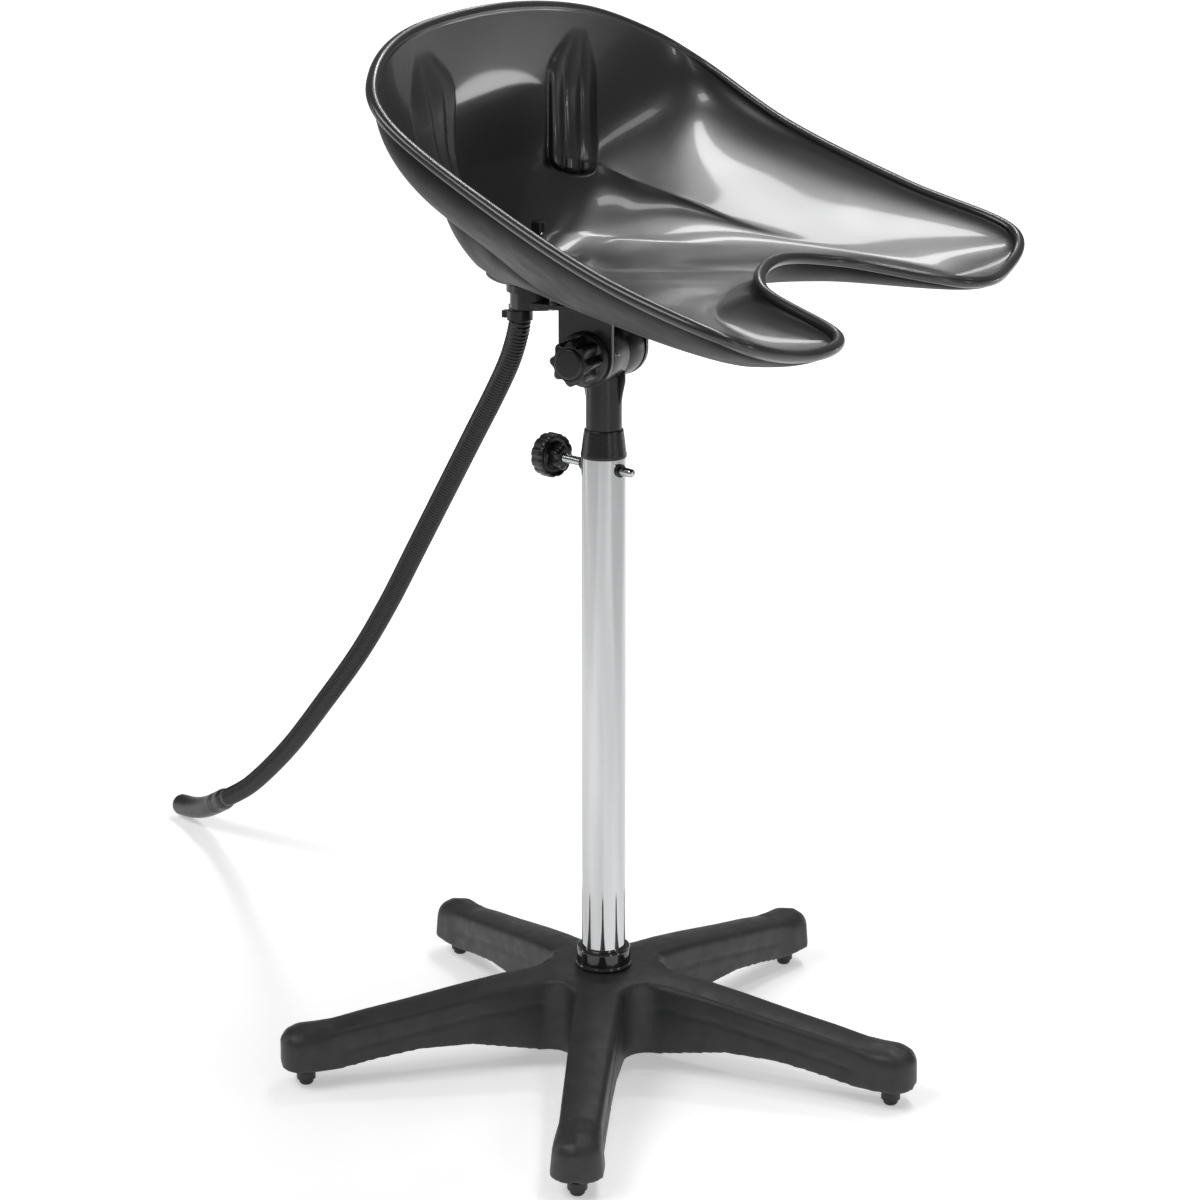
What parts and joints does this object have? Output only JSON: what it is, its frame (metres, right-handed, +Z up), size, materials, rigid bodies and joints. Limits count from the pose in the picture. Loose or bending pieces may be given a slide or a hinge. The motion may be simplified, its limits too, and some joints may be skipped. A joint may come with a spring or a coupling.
{
  "type": "shampoo backwash unit",
  "caption": "Free-standing salon hair-washing basin with a neck notch, on a tilting clamp head, a height-adjustable chromed column and a star base, with plug and waste hose.",
  "frame": {"origin": "on the floor, under the middle of the unit's footprint in X and Y without its hose; the column axis stands 16.8 mm behind it", "axes": "+Z up, +X towards the neck notch of the basin, Y along the tilt hinge"},
  "size_m": [0.9793, 0.6525, 0.9119],
  "materials": {
    "base_nylon": "fine spark texture, glass-filled nylon",
    "glide_plastic": "smooth black nylon",
    "black_plastic": "satin moulded black plastic",
    "chrome_tube": "polished chrome plate",
    "zinc_steel": "bright zinc plated steel",
    "basin_abs": "gloss black ABS, moulded",
    "white_nylon": "natural nylon bush",
    "black_enamel": "satin black powder coat",
    "rubber_black": "soft black rubber",
    "hose_pvc": "corrugated black PVC"
  },
  "bodies": {
    "base": {"star_base": "base_nylon", "glide_feet": "glide_plastic", "base_bolt": "zinc_steel", "base_washer": "zinc_steel", "tube_end_plug": "black_plastic", "base_collar": "black_plastic", "column_tube": "chrome_tube", "tube_cap": "black_plastic", "lock_rod": "chrome_tube", "lock_boss": "black_plastic", "rod_grommet": "black_plastic"},
    "lock_knob": {"lock_knob": "black_plastic", "lock_knob_nut": "zinc_steel"},
    "post": {"inner_post": "black_enamel", "lower_guide_bush": "white_nylon", "post_head": "black_enamel", "friction_washers": "zinc_steel"},
    "bowl": {"tilt_bolt": "zinc_steel", "tilt_bolt_nut": "black_plastic", "bowl_bracket": "black_enamel", "bracket_screws": "zinc_steel", "basin": "basin_abs", "drain_flange": "chrome_tube", "drain_gaskets": "rubber_black", "drain_cup": "black_plastic", "drain_lock_ring": "black_plastic", "hose_clip": "zinc_steel", "drain_hose": "hose_pvc", "hose_cuff": "hose_pvc"},
    "tilt_knob": {"tilt_knob": "black_plastic"},
    "drain_plug": {"drain_plug": "rubber_black"}
  },
  "joints": [
    {"name": "height_slide", "type": "slide", "parent": "base", "child": "post", "axis": [0, 0, 1], "range_m": [0, 0.28]},
    {"name": "bowl_tilt", "type": "hinge", "parent": "post", "child": "bowl", "pos_m": [-0.0168, 0, 0.631], "axis": [0, 1, 0], "range_deg": [-20, 25]},
    {"name": "lock_knob_turn", "type": "hinge", "parent": "base", "child": "lock_knob", "pos_m": [-0.0168, 0, 0.533], "axis": [-0.9455, 0.3256, 0], "continuous": true},
    {"name": "tilt_knob_turn", "type": "hinge", "parent": "bowl", "child": "tilt_knob", "pos_m": [-0.0168, 0, 0.631], "axis": [0, -1, 0], "continuous": true},
    {"name": "plug_lift", "type": "slide", "parent": "bowl", "child": "drain_plug", "axis": [0, 0, 1], "range_m": [0, 0.06]}
  ]
}
